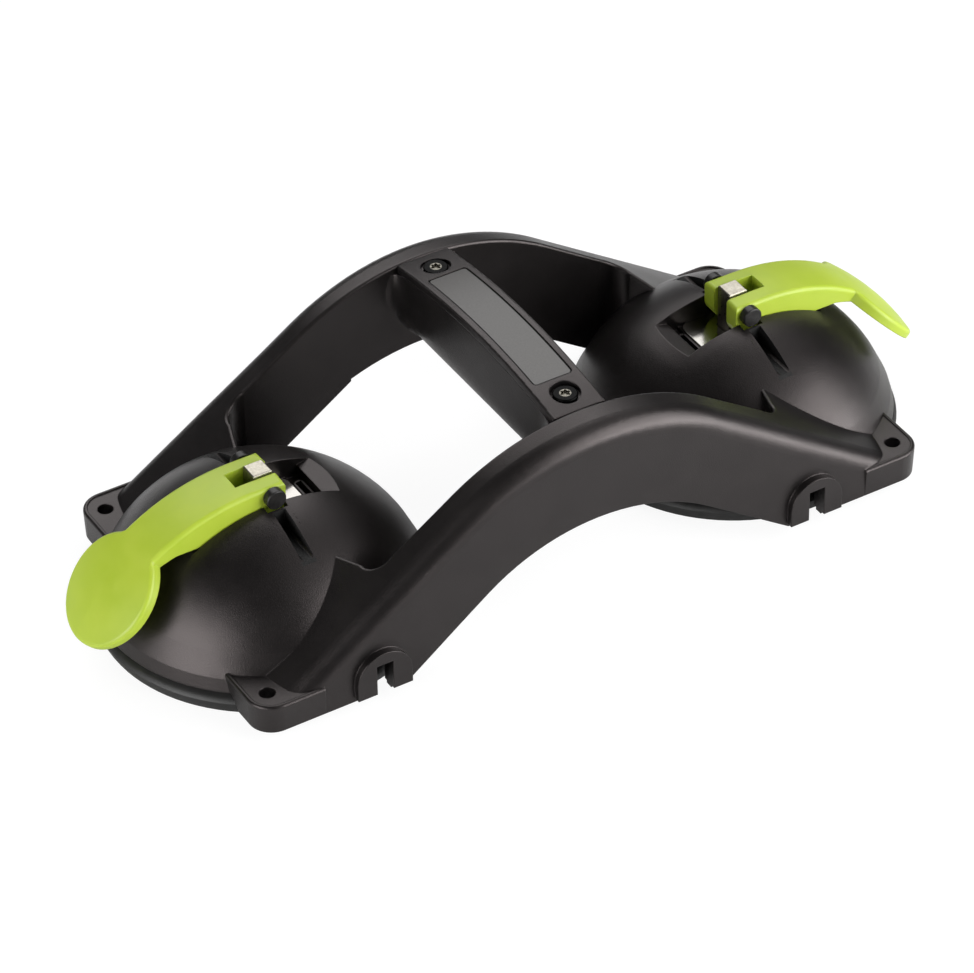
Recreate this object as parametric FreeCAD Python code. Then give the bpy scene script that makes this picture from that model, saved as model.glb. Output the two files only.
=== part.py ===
import FreeCAD, Part
import math
import os
from FreeCAD import Vector

os.makedirs("parts", exist_ok=True)

# Twin-cup suction lifter, millimetres. X runs along the length from one suction cup to the other,
# Z is up, and z = 0 is the floor under the cups' sealing lips. Each half is modelled once, at the
# right-hand cup, and turned half a turn about Z for the left-hand one.

# ---- driving sizes -------------------------------------------------------------------------
CUP_PITCH = 200.0          # distance between the two cup centres
CUP_RADIUS = 60.0          # sealing lip of a rubber cup
WALL = 3.0                 # wall of the moulded frame
RUN_FIT = 0.3              # air between moving pieces and the moulding
SEAT_GAP = 0.05            # radial air round pins and screws

# domes
DOME_RADIUS = 62.3         # horizontal half axis of the dome's ellipsoid
DOME_RISE = 57.4           # its vertical half axis
DOME_CENTRE_Z = -3.3       # height of the ellipsoid's centre
DOME_BREAK_Z = 23.0        # below this the dome runs straight to its skirt
SKIRT_TOP_RADIUS = 59.6
SKIRT_TOP_Z = 14.2
SKIRT_RADIUS = 61.0        # foot of the skirt
SKIRT_FOOT_Z = 9.2

# side rails
RAIL_INNER = 53.7          # inner wall, from the centre plane
RAIL_TOP_Z = 82.1          # top of the arch at its inner edge
RAIL_TOP_RADIUS = 95.0     # arch radius of the rail's top
RAIL_UNDER_Z = 41.6        # top of the arch under the rail
RAIL_UNDER_RADIUS = 82.0
RAMP_ANGLE = 33.9          # slope of the straight ends of the rails, degrees
RAIL_FALL = 0.11           # fall of the rail's top towards its outside, per mm
RAIL_FALL_GAIN = 0.0022    # how fast that fall steepens, per mm squared
RAMP_DROP_GAIN = 0.0255    # how fast the arch tightens towards the outside, per mm squared
RAIL_CROWN_FILLET = 8.0    # round along the rail's outer top edge
RAIL_LIP_FILLET = 1.0      # round along its inner top edge
FOOT_Z = 4.6               # underside of rails and ears
RIB_THICK = 2.0
RIB_PITCH = 18.0
STEP_HALF_LENGTH = 31.5    # stretch where the inner wall stops a step higher
STEP_TOP_Z = 43.9
STEP_RADIUS = 90.0

# outline seen from above, at the foot
OUTER_HALF_LENGTH = 139.2
OUTER_HALF_WIDTH = 68.9
WAIST_HALF_WIDTH = 64.6
WAIST_HALF_LENGTH = 90.0
OUTER_CORNER = 9.0
DRAFT_ANGLE = 2.4          # the walls lean outwards on their way up, degrees
CREST_PLAN_Z = 90.0        # height at which the rails' upper outline is given
CREST_HALF_WIDTH = 68.2    # half width of that outline in the middle
CREST_END_HALF_WIDTH = 65.9

# pocket between each rail and the dome
POCKET_TIP_X = 89.4        # where the pocket's wall runs out on the dome
POCKET_TIP_Y = 34.0
POCKET_WALL_X = 85.2       # where the pocket's wall leaves its corner round
POCKET_WALL_Y = 47.0
POCKET_CORNER_X = 76.2     # where the rail's inner wall starts to turn

# ears
EAR_TOP_Z = 16.3
EAR_HOLE_X = 131.7
EAR_HOLE_Y = 59.8
EAR_HOLE_RADIUS = 2.9
EAR_BOSS_RADIUS = 6.5
EAR_RIM = 1.6
EAR_RECESS = 0.5

# slotted bosses on the rails' outer faces
BOSS_X = 90.8
BOSS_RADIUS = 11.0
BOSS_CENTRE_Z = 12.2
BOSS_FOOT_Z = 5.8
BOSS_FACE_Y = 71.1
SLOT_WIDTH = 6.6
SLOT_TOP_Z = 18.4

# handle
HANDLE_HALF_WIDTH = 10.8
HANDLE_TOP_Z = 86.7
HANDLE_CROWN_RADIUS = 280.0
HANDLE_UNDER_Z = 53.0
HANDLE_UNDER_ROUND = 8.5
HANDLE_FLARE_SIDE = 5.0
HANDLE_FLARE_UNDER = 8.5
HANDLE_FLARE_LENGTH = 8.5
HANDLE_UNDER_LENGTH = 14.0
HANDLE_WAIST_Z = 68.0
HANDLE_WALL = 2.6
COVER_THICK = 3.0
LABEL_HALF_WIDTH = 7.9
LABEL_HALF_LENGTH = 36.7
LABEL_CORNER = 1.5
LABEL_THICK = 0.5
LABEL_SINK = 0.3
SCREW_Y = 44.3
SCREW_HEAD_RADIUS = 4.6
SCREW_HEAD_HEIGHT = 1.6
SCREW_RADIUS = 1.75
SCREW_LENGTH = 16.0
SCREW_SINK_RADIUS = 5.6
SCREW_SINK_DEPTH = 1.9
INSERT_RADIUS = 2.9
INSERT_LENGTH = 8.0
SCREW_BOSS_RADIUS = 4.8

# lever recess in a dome; u runs outwards from the cup's centre, so the handle side is negative
LEVER_SIDE_GAP = 0.5       # air between the lever and the recess's side walls
RECESS_FLOOR_Z = 43.1      # under the wear plate
ARM_BAY_Z = 44.8           # under the lever's arm
ARM_BAY_U = 14.2           # where the arm's bay starts
RECESS_WALL = 3.0
LEDGE_EDGE_U = -21.4       # the ledge's lower edge, on the handle side
LEDGE_EDGE_Z = 46.65
LEDGE_SLOPE = 0.2
GROOVE_U = -16.6           # from here to the ledge the floor is a groove
GROOVE_Z = 42.0
RING_TOP_Z = 43.7          # raised ring in the groove, round a slot
RING_HALF_WIDTH = 6.6
RING_THICK = 1.0
CHANNEL_END_Y = 38.0
CHANNEL_SIDE_GAP = 0.2     # air between a pin cap and its channel
CHANNEL_FLOOR_Z = 43.9

# lifting train
PIVOT_Z = 56.3
POST_HALF = 3.8
POST_TOP_Z = 61.7
PIN_RADIUS = 2.5
PIN_REACH = 2.1            # how far the pin stands out of the lever's sides
CAP_WALL = 1.35            # wall of a cap round the pin
CAP_LENGTH = 3.35          # from the lever's side to the cap's face
PLATE_RADIUS = 42.0
PLATE_TOP_Z = 24.0
PLATE_THICK = 3.0
STUD_RADIUS = 4.0
NUT_RADIUS = 7.0
NUT_THICK = 4.0
CUP_TRAVEL = 7.0           # how far the cup's centre drops when the lever stands up
CUP_LIP = 62.2             # widest part of the rubber, above the lip

# lever
LEVER_HALF_WIDTH = 10.5
FORK_GAP = 0.4             # air between the fork and the post
LEVER_SLOT_END = 11.2
CROWN_RADIUS = 76.3        # sphere that the lever's top follows
CROWN_CENTRE_U = 6.8
CROWN_CENTRE_Z = -15.65
PADDLE_RADIUS = 21.15
PADDLE_U = 60.0
PADDLE_Z = 32.4
PADDLE_TILT = 43.8
PADDLE_ROOT_THICK = 3.9
PADDLE_TIP_THICK = 2.5
NECK_U = 39.0
ARM_END_U = 53.0
ARM_FOOT_Z = 45.7          # flat underside of the arm
CAM_LOBE_U = 9.0           # end of the cam's flat
CAM_GAP = 0.1
WEAR_THICK = 0.8
WEAR_END_U = -16.2
WEAR_CORNER = 4.0

# sizes that follow from the ones above
CUP_X = CUP_PITCH / 2
RAMP = math.radians(RAMP_ANGLE)
RECESS_HALF_WIDTH = LEVER_HALF_WIDTH + LEVER_SIDE_GAP
LEVER_SLOT_HALF = POST_HALF + FORK_GAP
CAP_RADIUS = PIN_RADIUS + CAP_WALL
CHANNEL_HALF_WIDTH = CAP_RADIUS + CHANNEL_SIDE_GAP
CAP_FACE_Y = LEVER_HALF_WIDTH + CAP_LENGTH
PIN_HALF_LENGTH = LEVER_HALF_WIDTH + PIN_REACH


# ---- small helpers -------------------------------------------------------------------------
def box(x0, x1, y0, y1, z0, z1):
    return Part.makeBox(x1 - x0, y1 - y0, z1 - z0, Vector(x0, y0, z0))


def rod(radius, start, end):
    run = end - start
    return Part.makeCylinder(radius, run.Length, start, run)


def half_turn(shape):
    turned = shape.copy()
    turned.rotate(Vector(0, 0, 0), Vector(0, 0, 1), 180)
    return turned


def other_side(shape):
    return shape.mirror(Vector(0, 0, 0), Vector(0, 1, 0))


def both_sides(shape):
    return [shape, other_side(shape)]


def four_corners(shape):
    pair = both_sides(shape)
    return pair + [half_turn(one) for one in pair]


def face_of(edges):
    return Part.Face(Part.Wire(Part.__sortEdges__(edges)))


def polygon_xz(points, y):
    corners = [Vector(x, y, z) for x, z in points]
    return Part.Face(Part.makePolygon(corners + corners[:1]))


def prism_xz(points, y0, y1):
    return polygon_xz(points, y0).extrude(Vector(0, y1 - y0, 0))


def arc(start, middle, end):
    return Part.Arc(start, middle, end).toShape()


def line(start, end):
    return Part.LineSegment(start, end).toShape()


def middle_of(edge):
    return edge.valueAt((edge.FirstParameter + edge.LastParameter) / 2)


def fuse_all(shapes):
    return shapes[0].multiFuse(shapes[1:]) if len(shapes) > 1 else shapes[0]


def save(node, shape):
    shape = shape.removeSplitter()
    solids = shape.Solids
    out = solids[0] if len(solids) == 1 else Part.makeCompound(solids)
    out.exportStep("parts/" + node + ".step")
    print(node, len(solids), "solid(s)", round(sum(s.Volume for s in solids), 1), "mm3")


# ---- domes ---------------------------------------------------------------------------------
def dome_radius_at(z, inset=0.0):
    share = (z - DOME_CENTRE_Z) / (DOME_RISE - inset)
    return (DOME_RADIUS - inset) * math.sqrt(max(0.0, 1 - share * share))


def ellipse_arc(half_width, half_height, start):
    """Curve from the dome's shoulder up to its apex, level at the top."""
    steps = 8
    points = []
    for i in range(steps + 1):
        turn = start + (math.pi / 2 - start) * i / steps
        points.append(Vector(half_width * math.cos(turn), 0, DOME_CENTRE_Z + half_height * math.sin(turn)))
    rise = Vector(-half_width * math.sin(start), 0, half_height * math.cos(start))
    curve = Part.BSplineCurve()
    curve.interpolate(Points=points, InitialTangent=rise, FinalTangent=Vector(-half_width, 0, 0))
    return curve.toShape()


def dome_solid(inset, foot_z):
    """The dome as a full solid of revolution, its outside moved in by the inset."""
    half_height = DOME_RISE - inset
    start = math.asin((DOME_BREAK_Z - DOME_CENTRE_Z) / half_height)
    shoulder = Vector(dome_radius_at(DOME_BREAK_Z, inset), 0, DOME_BREAK_Z)
    apex = Vector(0, 0, DOME_CENTRE_Z + half_height)
    corners = [apex, Vector(0, 0, foot_z), Vector(SKIRT_RADIUS - inset, 0, foot_z),
               Vector(SKIRT_TOP_RADIUS - inset, 0, SKIRT_TOP_Z), shoulder]
    edges = [ellipse_arc(DOME_RADIUS - inset, half_height, start)]
    edges += [line(a, b) for a, b in zip(corners, corners[1:])]
    solid = face_of(edges).revolve(Vector(0, 0, 0), Vector(0, 0, 1), 360)
    solid = Part.Solid(solid) if solid.ShapeType != "Solid" else solid
    solid.translate(Vector(CUP_X, 0, 0))
    return solid


# ---- rails ---------------------------------------------------------------------------------
def plan_wire(z, grow, end_width=OUTER_HALF_WIDTH, middle_width=WAIST_HALF_WIDTH):
    """Outline of the frame seen from above, grown outwards by the given amount."""
    half_x = OUTER_HALF_LENGTH + grow
    half_y = end_width + grow
    waist = middle_width + grow
    corner = OUTER_CORNER + grow
    bend = corner * (1 - math.sqrt(0.5))
    near_curve = Part.BSplineCurve()
    spots = [(-WAIST_HALF_LENGTH, half_y), (-WAIST_HALF_LENGTH / 2, (half_y + waist) / 2), (0, waist),
             (WAIST_HALF_LENGTH / 2, (half_y + waist) / 2), (WAIST_HALF_LENGTH, half_y)]
    near_curve.interpolate(Points=[Vector(x, -y, z) for x, y in spots],
                           InitialTangent=Vector(1, 0, 0), FinalTangent=Vector(1, 0, 0))
    near = near_curve.toShape()
    straight = line(Vector(WAIST_HALF_LENGTH, -half_y, z), Vector(half_x - corner, -half_y, z))
    turn = arc(Vector(half_x - corner, -half_y, z), Vector(half_x - bend, -half_y + bend, z),
               Vector(half_x, -half_y + corner, z))
    end = line(Vector(half_x, -half_y + corner, z), Vector(half_x, half_y - corner, z))
    edges = [near, straight, turn, end]
    edges += [other_side(straight), other_side(turn)]
    edges += [half_turn(e) for e in (near, straight, turn, end, other_side(straight), other_side(turn))]
    return Part.Wire(Part.__sortEdges__(edges))


def envelope(inset, z0, z1):
    lean = math.tan(math.radians(DRAFT_ANGLE))
    low = plan_wire(z0, lean * (z0 - FOOT_Z) - inset)
    high = plan_wire(z1, lean * (z1 - FOOT_Z) - inset)
    return Part.makeLoft([low, high], True, True)


def rail_envelope(inset, z0):
    """Space between the rails' outer walls, which are waisted at the foot and straight at the crest."""
    foot = plan_wire(FOOT_Z, -inset)
    crest = plan_wire(CREST_PLAN_Z, -inset, CREST_END_HALF_WIDTH, CREST_HALF_WIDTH)
    walls = Part.makeLoft([foot, crest], True, True)
    if z0 < FOOT_Z:
        walls = walls.fuse(Part.Face(foot).extrude(Vector(0, 0, z0 - FOOT_Z)))
    return walls


def arch_points(top_z, radius, end_z):
    """Right-hand tangent point of an arch with straight ramps, and the ramp's end."""
    tangent = (radius * math.sin(RAMP), top_z - radius * (1 - math.cos(RAMP)))
    end_x = tangent[0] + (tangent[1] - end_z) / math.tan(RAMP)
    return tangent, (end_x, end_z)


def rail_wire(out, inset):
    """Side outline of a rail this far outside its inner wall: arched top and underside, straight ramps."""
    y = -RAIL_INNER - out
    top_z = RAIL_TOP_Z - RAIL_FALL * out - RAIL_FALL_GAIN * out * out - inset
    radius = RAIL_TOP_RADIUS - RAMP_DROP_GAIN * max(0.0, out) ** 2 - inset
    top, top_end = arch_points(top_z, radius, EAR_TOP_Z - EAR_RIM)
    if inset:
        floor = [(top_end[0], FOOT_Z - 1), (-top_end[0], FOOT_Z - 1)]
        under = []
    else:
        under_tangent, under_end = arch_points(RAIL_UNDER_Z, RAIL_UNDER_RADIUS, FOOT_Z)
        floor = [(top_end[0], FOOT_Z), under_end, under_tangent]
        under = [(-under_tangent[0], under_tangent[1]), (-under_end[0], FOOT_Z), (-top_end[0], FOOT_Z)]
    at = [Vector(x, y, z) for x, z in [(-top_end[0], top_end[1]), (-top[0], top[1])]]
    right = [Vector(x, y, z) for x, z in [top, top_end]]
    edges = [line(at[0], at[1]), arc(at[1], Vector(0, y, top_z), right[0]), line(right[0], right[1])]
    low = [right[1]] + [Vector(x, y, z) for x, z in floor]
    edges += [line(a, b) for a, b in zip(low, low[1:])]
    if under:
        back = [Vector(x, y, z) for x, z in under]
        edges.append(arc(low[-1], Vector(0, y, RAIL_UNDER_Z), back[0]))
        edges += [line(a, b) for a, b in zip(back, back[1:])]
        edges.append(line(back[-1], at[0]))
    else:
        edges.append(line(low[-1], at[0]))
    return Part.Wire(edges)


def rail_prism(inset, y_in, y_out):
    """Rail as a block from one plane to another, its top crowned across its width."""
    steps = 4
    wires = [rail_wire(y_in - RAIL_INNER + (y_out - y_in) * i / steps, inset) for i in range(steps + 1)]
    return Part.makeLoft(wires, True, False)


def rail_top_z(x):
    """Height of a rail's top along its inner wall."""
    tangent = arch_points(RAIL_TOP_Z, RAIL_TOP_RADIUS, 0)[0]
    if abs(x) > tangent[0]:
        return tangent[1] - (abs(x) - tangent[0]) * math.tan(RAMP)
    return RAIL_TOP_Z - RAIL_TOP_RADIUS + math.sqrt(RAIL_TOP_RADIUS ** 2 - x ** 2)


def top_edges_between(rail, y_low, y_high):
    """Lengthwise edges at the top of a rail whose middles lie between two planes."""
    chosen = []
    for edge in rail.Edges:
        middle = middle_of(edge)
        ends = [v.Point for v in edge.Vertexes]
        lengthwise = len(ends) == 2 and abs(ends[0].x - ends[1].x) > 1
        if lengthwise and y_low < middle.y < y_high and middle.z > rail_top_z(middle.x) - RAIL_CROWN_FILLET:
            chosen.append(edge)
    return chosen


def round_crown(rail, radius):
    """Rounds the long outer top edge of a rail on the -Y side."""
    return rail.makeFillet(radius, top_edges_between(rail, -99, 1 - WAIST_HALF_WIDTH))


def rail_near():
    outer = rail_prism(0, POCKET_TIP_Y - 2, BOSS_FACE_Y + 4).common(rail_envelope(0, FOOT_Z))
    return round_crown(outer, RAIL_CROWN_FILLET)


def rail_hollow():
    lane = rail_prism(WALL, RAIL_INNER + WALL, BOSS_FACE_Y + 4)
    lane = lane.common(rail_envelope(WALL, FOOT_Z - 2))
    return round_crown(lane, RAIL_CROWN_FILLET - WALL)


def rail_ribs(rail):
    """Cross ribs inside a rail, their feet a little above the rail's own edge."""
    lifted = rail.copy()
    lifted.translate(Vector(0, 0, 5))
    count = int((CUP_X - CUP_RADIUS / 2) / RIB_PITCH)
    half = RIB_THICK / 2
    slabs = [box(i * RIB_PITCH - half, i * RIB_PITCH + half, -BOSS_FACE_Y - 4, -RAIL_INNER, 0, CREST_PLAN_Z)
             for i in range(-count, count + 1)]
    return Part.makeCompound(slabs).common(rail).common(lifted)


def pocket_cutter():
    """The space between the rails and the domes, cut out of the rails down to the floor."""
    corner = [Vector(POCKET_CORNER_X, -RAIL_INNER, 0), Vector(POCKET_WALL_X, -POCKET_WALL_Y, 0)]
    wall_run = math.hypot(POCKET_TIP_X - POCKET_WALL_X, POCKET_WALL_Y - POCKET_TIP_Y)
    tilt = (POCKET_TIP_X - POCKET_WALL_X) / wall_run
    middle = Vector(POCKET_WALL_X - 2.6 + tilt, -RAIL_INNER + 1.55, 0)
    inner_y = POCKET_TIP_Y - 4
    inner_x = POCKET_TIP_X + 4 * (POCKET_TIP_X - POCKET_WALL_X) / (POCKET_WALL_Y - POCKET_TIP_Y)
    right = [arc(corner[0], middle, corner[1]), line(corner[1], Vector(inner_x, -inner_y, 0))]
    left = [edge.mirror(Vector(0, 0, 0), Vector(1, 0, 0)) for edge in right]
    joins = [line(Vector(-POCKET_CORNER_X, -RAIL_INNER, 0), corner[0]),
             line(Vector(inner_x, -inner_y, 0), Vector(-inner_x, -inner_y, 0))]
    return face_of(right + left + joins).extrude(Vector(0, 0, RAIL_TOP_Z + 10))


def near_rail():
    outer = rail_near()
    hollow = rail_hollow()
    ribs = rail_ribs(outer)
    shell = outer.cut(hollow).fuse(ribs.common(hollow))
    shell = shell.cut(pocket_cutter())
    y0 = -RAIL_INNER - WALL
    y1 = -RAIL_INNER + 1
    centre_z = STEP_TOP_Z - STEP_RADIUS
    step = rod(STEP_RADIUS, Vector(0, y0, centre_z), Vector(0, y1, centre_z))
    step = step.common(box(-STEP_HALF_LENGTH, STEP_HALF_LENGTH, y0, y1, 0, RAIL_TOP_Z))
    tangent = arch_points(RAIL_UNDER_Z, RAIL_UNDER_RADIUS, FOOT_Z)[0]
    step_z = tangent[1] + (tangent[0] - STEP_HALF_LENGTH) * math.tan(RAMP)
    ends = [prism_xz([(side * STEP_HALF_LENGTH, 0), (side * STEP_HALF_LENGTH, step_z),
                      (side * tangent[0], tangent[1]), (side * tangent[0], 0)], y0, y1) for side in (-1, 1)]
    shell = shell.cut(Part.makeCompound([step] + ends))
    return shell.makeFillet(RAIL_LIP_FILLET, top_edges_between(shell, -RAIL_INNER - 0.05, -POCKET_TIP_Y))


# ---- ears and bosses -----------------------------------------------------------------------
def ear(inset, z0, z1):
    start_x = EAR_HOLE_X - 18 + inset
    start_y = EAR_HOLE_Y - 21 + inset
    corner = box(start_x, OUTER_HALF_LENGTH + 9, -BOSS_FACE_Y - 9, -start_y, z0, z1)
    return envelope(inset, z0, z1).common(corner)


def near_right_ear():
    solid = ear(0, FOOT_Z, EAR_TOP_Z)
    rim = []
    for edge in solid.Edges:
        middle = middle_of(edge)
        outside = middle.x > OUTER_HALF_LENGTH - OUTER_CORNER or middle.y < -OUTER_HALF_WIDTH
        if outside and abs(middle.z - EAR_TOP_Z) < 0.01:
            rim.append(edge)
    solid = solid.makeFillet(EAR_RIM - 0.5, rim)
    foot = Vector(EAR_HOLE_X, -EAR_HOLE_Y, FOOT_Z)
    boss = rod(EAR_BOSS_RADIUS, foot, foot + Vector(0, 0, EAR_TOP_Z - FOOT_Z - 1))
    hollow = ear(WALL, FOOT_Z - 1, EAR_TOP_Z - WALL).cut(boss)
    sunk = ear(EAR_RIM, EAR_TOP_Z - EAR_RECESS, EAR_TOP_Z + 1)
    return solid.cut(hollow).cut(sunk)


def near_right_boss():
    """Half-round raised pad on the rail's outer face, over its slot."""
    back_y = -WAIST_HALF_WIDTH
    front = Vector(BOSS_X, -BOSS_FACE_Y, BOSS_CENTRE_Z)
    arch = rod(BOSS_RADIUS, front, Vector(BOSS_X, back_y, BOSS_CENTRE_Z))
    body = box(BOSS_X - BOSS_RADIUS, BOSS_X + BOSS_RADIUS, -BOSS_FACE_Y, back_y, BOSS_FOOT_Z, BOSS_CENTRE_Z)
    wide = 2 * BOSS_RADIUS
    under = box(BOSS_X - wide, BOSS_X + wide, -BOSS_FACE_Y - 1, back_y + 1, -9, BOSS_FOOT_Z)
    return arch.fuse(body).cut(under)


def near_right_slot():
    half = SLOT_WIDTH / 2
    return box(BOSS_X - half, BOSS_X + half, -BOSS_FACE_Y - 1, -WAIST_HALF_WIDTH + 2, 0, SLOT_TOP_Z)


def cup_clearance():
    """Room under the moulding for a rubber cup's flared rim."""
    drop = SKIRT_FOOT_Z - FOOT_Z + 1
    return Part.makeCone(CUP_LIP + 3.8, CUP_LIP - 0.2, drop, Vector(CUP_X, 0, FOOT_Z - 1), Vector(0, 0, 1))


# ---- handle --------------------------------------------------------------------------------
def crown_z(y, sink=0.0):
    radius = HANDLE_CROWN_RADIUS
    return HANDLE_TOP_Z - sink - radius + math.sqrt(radius * radius - y * y)


def crown_slab(top_sink, bottom_sink, half_y):
    """Slab across the handle between two levels under its crowned top."""
    def corner(y, sink):
        return Vector(0, y, crown_z(y, sink))
    edges = [arc(corner(-half_y, top_sink), corner(0, top_sink), corner(half_y, top_sink)),
             line(corner(half_y, top_sink), corner(half_y, bottom_sink)),
             arc(corner(half_y, bottom_sink), corner(0, bottom_sink), corner(-half_y, bottom_sink)),
             line(corner(-half_y, bottom_sink), corner(-half_y, top_sink))]
    slab = face_of(edges).extrude(Vector(4 * HANDLE_HALF_WIDTH, 0, 0))
    slab.translate(Vector(-2 * HANDLE_HALF_WIDTH, 0, 0))
    return slab


def flare_share(y, length):
    """How far the handle has opened at this place: 0 on the bar, 1 where it meets a rail."""
    left = (RAIL_INNER - abs(y)) / length
    return 1 - math.sqrt(max(0.0, 1 - (1 - min(1.0, max(0.0, left))) ** 2)) if left > 0 else 1.0


def handle_section(y, grow):
    """Closed outline across the handle; a shrunken one is the hollow inside it and doesn't flare."""
    half = HANDLE_HALF_WIDTH + grow
    side = 0 if grow else HANDLE_FLARE_SIDE * flare_share(y, HANDLE_FLARE_LENGTH)
    drop = 0 if grow else HANDLE_FLARE_UNDER * flare_share(y, HANDLE_UNDER_LENGTH)
    foot = HANDLE_UNDER_Z - grow
    turn = foot + HANDLE_UNDER_ROUND
    bend = HANDLE_UNDER_ROUND * (1 - math.sqrt(0.5))
    right = [Vector(half, y, HANDLE_TOP_Z + 3), Vector(half + 0.2 * side, y, crown_z(RAIL_INNER)),
             Vector(half + 0.8 * side, y, HANDLE_WAIST_Z + 8), Vector(half + side, y, HANDLE_WAIST_Z),
             Vector(half + 0.5 * side, y, turn), Vector(half - bend, y, foot + bend - 0.3 * drop),
             Vector(half * 0.3, y, foot - 0.75 * drop), Vector(0, y, foot - drop)]
    left = [Vector(-v.x, v.y, v.z) for v in right[-2::-1]]
    curve = Part.BSplineCurve()
    curve.interpolate(Points=right + left)
    return Part.Wire([curve.toShape(), line(left[-1], right[0])])


def handle_bar():
    """Bar from rail to rail, opening like a trumpet at both ends."""
    from_rail = [-1.0, 0.0, 0.6, 2.0, 4.2, 7.0, 10.5, HANDLE_UNDER_LENGTH, RAIL_INNER / 2]
    near = [handle_section(d - RAIL_INNER, 0) for d in from_rail]
    far = [other_side(wire) for wire in near[::-1]]
    return Part.makeLoft(near + [handle_section(0, 0)] + far, True, False)


def handle_channel():
    """Trough closed at the top by the cover, with a screw boss at each end."""
    above_cover = crown_slab(-9, COVER_THICK + SEAT_GAP, RAIL_INNER + 3)
    inside = [handle_section(y, -HANDLE_WALL) for y in (-RAIL_INNER + 2, RAIL_INNER - 2)]
    shell = handle_bar().cut(Part.makeLoft(inside, True, True))
    top = crown_z(SCREW_Y, COVER_THICK)
    for y in (-SCREW_Y, SCREW_Y):
        boss = rod(SCREW_BOSS_RADIUS, Vector(0, y, HANDLE_UNDER_Z + 0.5), Vector(0, y, top + 3))
        shell = shell.fuse(boss)
        shell = shell.cut(rod(INSERT_RADIUS, Vector(0, y, top - INSERT_LENGTH - 0.6), Vector(0, y, top + 9)))
        shell = shell.cut(rod(SCREW_RADIUS + 0.3, Vector(0, y, top - SCREW_LENGTH), Vector(0, y, top)))
    return shell.cut(above_cover)


def rounded_plate(half_x, half_y, corner, z0, z1):
    plate = box(-half_x, half_x, -half_y, half_y, z0, z1)
    upright = [e for e in plate.Edges if abs(e.Vertexes[0].Z - e.Vertexes[1].Z) > 0.1]
    return plate.makeFillet(corner, upright)


def label_slot(grow):
    return rounded_plate(LABEL_HALF_WIDTH + grow, LABEL_HALF_LENGTH + grow, LABEL_CORNER,
                         HANDLE_WAIST_Z, HANDLE_TOP_Z + 2)


def handle_cover():
    half_y = RAIL_INNER - 0.2
    width = box(-HANDLE_HALF_WIDTH, HANDLE_HALF_WIDTH, -RAIL_INNER, RAIL_INNER, HANDLE_WAIST_Z, HANDLE_TOP_Z + 1)
    plate = crown_slab(0, COVER_THICK, half_y).common(width)
    long_edges = [e for e in plate.Edges if e.Length > 2 * half_y and
                  middle_of(e).z > HANDLE_TOP_Z - 0.5]
    plate = plate.makeFillet(0.8, long_edges)
    seat = label_slot(0.15).common(crown_slab(-1, LABEL_SINK + LABEL_THICK + SEAT_GAP, half_y))
    plate = plate.cut(seat)
    for y in (-SCREW_Y, SCREW_Y):
        top = crown_z(SCREW_Y)
        sink = rod(SCREW_SINK_RADIUS, Vector(0, y, top - SCREW_SINK_DEPTH), Vector(0, y, top + 3))
        hole = rod(SCREW_RADIUS + 0.2, Vector(0, y, top - 9), Vector(0, y, top))
        plate = plate.cut(sink).cut(hole)
    return plate


def label_plate():
    return label_slot(0).common(crown_slab(LABEL_SINK, LABEL_SINK + LABEL_THICK, RAIL_INNER))


def cover_screw(y):
    seat_z = crown_z(SCREW_Y) - SCREW_SINK_DEPTH
    head = rod(SCREW_HEAD_RADIUS, Vector(0, y, seat_z), Vector(0, y, seat_z + SCREW_HEAD_HEIGHT))
    rim = [e for e in head.Edges if e.Closed and e.Vertexes[0].Z > seat_z + 0.1]
    head = head.makeFillet(0.6, rim)
    shank = rod(SCREW_RADIUS, Vector(0, y, seat_z - SCREW_LENGTH + COVER_THICK), Vector(0, y, seat_z))
    drive = [rod(0.55, Vector(1.35 * math.cos(a), y + 1.35 * math.sin(a), seat_z + 0.6),
                 Vector(1.35 * math.cos(a), y + 1.35 * math.sin(a), seat_z + 4))
             for a in [math.radians(60 * i) for i in range(6)]]
    drive.append(rod(1.35, Vector(0, y, seat_z + 0.6), Vector(0, y, seat_z + 4)))
    return head.fuse(shank).cut(fuse_all(drive))


def cover_insert(y):
    top = crown_z(SCREW_Y, COVER_THICK) - 0.6
    sleeve = rod(INSERT_RADIUS, Vector(0, y, top - INSERT_LENGTH), Vector(0, y, top))
    return sleeve.cut(rod(SCREW_RADIUS + SEAT_GAP, Vector(0, y, top - 20), Vector(0, y, top + 5)))


# ---- lever housing in a dome ---------------------------------------------------------------
def dome_cavity():
    """Hollow of a dome, less the boxes round the lever recess and the pin channels."""
    half = RECESS_HALF_WIDTH + RECESS_WALL
    foot = RECESS_FLOOR_Z - RECESS_WALL
    trough = box(CUP_X - 31, CUP_X + 36, -half, half, foot, PIVOT_Z)
    side = CHANNEL_HALF_WIDTH + RECESS_WALL
    channel_foot = CHANNEL_FLOOR_Z - RECESS_WALL
    channel = box(CUP_X - side, CUP_X + side, -CHANNEL_END_Y, CHANNEL_END_Y, channel_foot, PIVOT_Z)
    return dome_solid(WALL, SKIRT_FOOT_Z - 9).cut(trough).cut(channel)


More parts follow.
